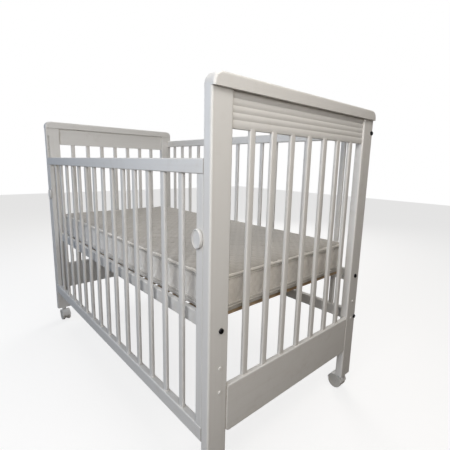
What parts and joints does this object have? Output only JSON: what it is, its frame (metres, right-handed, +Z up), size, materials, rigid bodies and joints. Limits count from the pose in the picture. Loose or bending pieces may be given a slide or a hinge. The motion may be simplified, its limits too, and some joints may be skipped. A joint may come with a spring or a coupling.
{
  "type": "slatted cot",
  "caption": "White slatted wooden cot with high ends, a fixed side, a drop side with turn latches, and a quilted mattress on a lath base, on casters.",
  "frame": {"origin": "on the floor, under the middle of the overall box", "axes": "+X along the cot towards the foot end, +Y across it towards the fixed side, +Z up; the drop side is at -Y"},
  "size_m": [1.291, 0.688, 0.998],
  "materials": {
    "painted_wood": "white satin paint on solid wood, edges worn very slightly",
    "bare_wood": "plain planed softwood, clear varnish",
    "mattress_fabric": "quilted woven cotton, grey beige, off-white piping",
    "white_plastic": "moulded white nylon, fine satin",
    "wheel_plastic": "moulded off-white nylon, scuffed tread",
    "black_steel": "black oxide",
    "zinc_steel": "zinc plated"
  },
  "bodies": {
    "root": {"base_bolts": "black_steel", "base_end_rail_foot": "bare_wood", "base_end_rail_head": "bare_wood", "base_lath_screws": "zinc_steel", "base_laths": "bare_wood", "base_nuts": "zinc_steel", "base_side_rail_drop": "painted_wood", "base_side_rail_fixed": "painted_wood", "caster_sockets": "white_plastic", "fixed_bottom_rail": "painted_wood", "fixed_side_bolts": "black_steel", "fixed_side_nuts": "zinc_steel", "fixed_slats": "painted_wood", "fixed_top_rail": "painted_wood", "foot_bottom_board": "painted_wood", "foot_cap_rail": "painted_wood", "foot_fluted_panel": "painted_wood", "foot_post_drop": "painted_wood", "foot_post_fixed": "painted_wood", "foot_slats": "painted_wood", "frame_dowels": "bare_wood", "guide_track_foot": "white_plastic", "guide_track_head": "white_plastic", "guide_track_screws": "zinc_steel", "head_bottom_board": "painted_wood", "head_cap_rail": "painted_wood", "head_fluted_panel": "painted_wood", "head_post_drop": "painted_wood", "head_post_fixed": "painted_wood", "head_slats": "painted_wood", "hole_plugs": "white_plastic"},
    "caster_foot_drop": {"caster_axle_foot_drop": "zinc_steel", "caster_body_foot_drop": "white_plastic"},
    "caster_foot_fixed": {"caster_axle_foot_fixed": "zinc_steel", "caster_body_foot_fixed": "white_plastic"},
    "caster_head_drop": {"caster_axle_head_drop": "zinc_steel", "caster_body_head_drop": "white_plastic"},
    "caster_head_fixed": {"caster_axle_head_fixed": "zinc_steel", "caster_body_head_fixed": "white_plastic"},
    "wheels_foot_drop": {"caster_wheels_foot_drop": "wheel_plastic"},
    "wheels_foot_fixed": {"caster_wheels_foot_fixed": "wheel_plastic"},
    "wheels_head_drop": {"caster_wheels_head_drop": "wheel_plastic"},
    "wheels_head_fixed": {"caster_wheels_head_fixed": "wheel_plastic"},
    "drop_side": {"drop_bottom_rail": "painted_wood", "drop_guide_pins": "white_plastic", "drop_slats": "painted_wood", "drop_stile_foot": "painted_wood", "drop_stile_head": "painted_wood", "drop_top_rail": "painted_wood"},
    "latch_foot": {"latch_knob_foot": "white_plastic", "latch_screw_foot": "zinc_steel", "latch_tongue_foot": "white_plastic"},
    "latch_head": {"latch_knob_head": "white_plastic", "latch_screw_head": "zinc_steel", "latch_tongue_head": "white_plastic"},
    "mattress": {"mattress": "mattress_fabric"}
  },
  "joints": [
    {"name": "drop_side_slide", "type": "slide", "parent": "root", "child": "drop_side", "axis": [0, 0, 1], "range_m": [0, 0.115]},
    {"name": "latch_foot_turn", "type": "hinge", "parent": "drop_side", "child": "latch_foot", "pos_m": [0.597, -0.336, 0.657], "axis": [0, -1, 0], "range_deg": [0, 90]},
    {"name": "latch_head_turn", "type": "hinge", "parent": "drop_side", "child": "latch_head", "pos_m": [-0.597, -0.336, 0.657], "axis": [0, 1, 0], "range_deg": [0, 90]},
    {"name": "mattress_lift_out", "type": "slide", "parent": "root", "child": "mattress", "axis": [0, 0, 1], "range_m": [0, 0.6]},
    {"name": "caster_foot_drop_swivel", "type": "hinge", "parent": "root", "child": "caster_foot_drop", "pos_m": [0.625, -0.3065, 0.06], "axis": [0, 0, 1], "continuous": true},
    {"name": "wheels_foot_drop_roll", "type": "hinge", "parent": "caster_foot_drop", "child": "wheels_foot_drop", "pos_m": [0.605, -0.3065, 0.025], "axis": [0, 1, 0], "continuous": true},
    {"name": "caster_foot_fixed_swivel", "type": "hinge", "parent": "root", "child": "caster_foot_fixed", "pos_m": [0.625, 0.3145, 0.06], "axis": [0, 0, 1], "continuous": true},
    {"name": "wheels_foot_fixed_roll", "type": "hinge", "parent": "caster_foot_fixed", "child": "wheels_foot_fixed", "pos_m": [0.605, 0.3145, 0.025], "axis": [0, 1, 0], "continuous": true},
    {"name": "caster_head_drop_swivel", "type": "hinge", "parent": "root", "child": "caster_head_drop", "pos_m": [-0.625, -0.3065, 0.06], "axis": [0, 0, 1], "continuous": true},
    {"name": "wheels_head_drop_roll", "type": "hinge", "parent": "caster_head_drop", "child": "wheels_head_drop", "pos_m": [-0.605, -0.3065, 0.025], "axis": [0, 1, 0], "continuous": true},
    {"name": "caster_head_fixed_swivel", "type": "hinge", "parent": "root", "child": "caster_head_fixed", "pos_m": [-0.625, 0.3145, 0.06], "axis": [0, 0, 1], "continuous": true},
    {"name": "wheels_head_fixed_roll", "type": "hinge", "parent": "caster_head_fixed", "child": "wheels_head_fixed", "pos_m": [-0.605, 0.3145, 0.025], "axis": [0, 1, 0], "continuous": true}
  ]
}
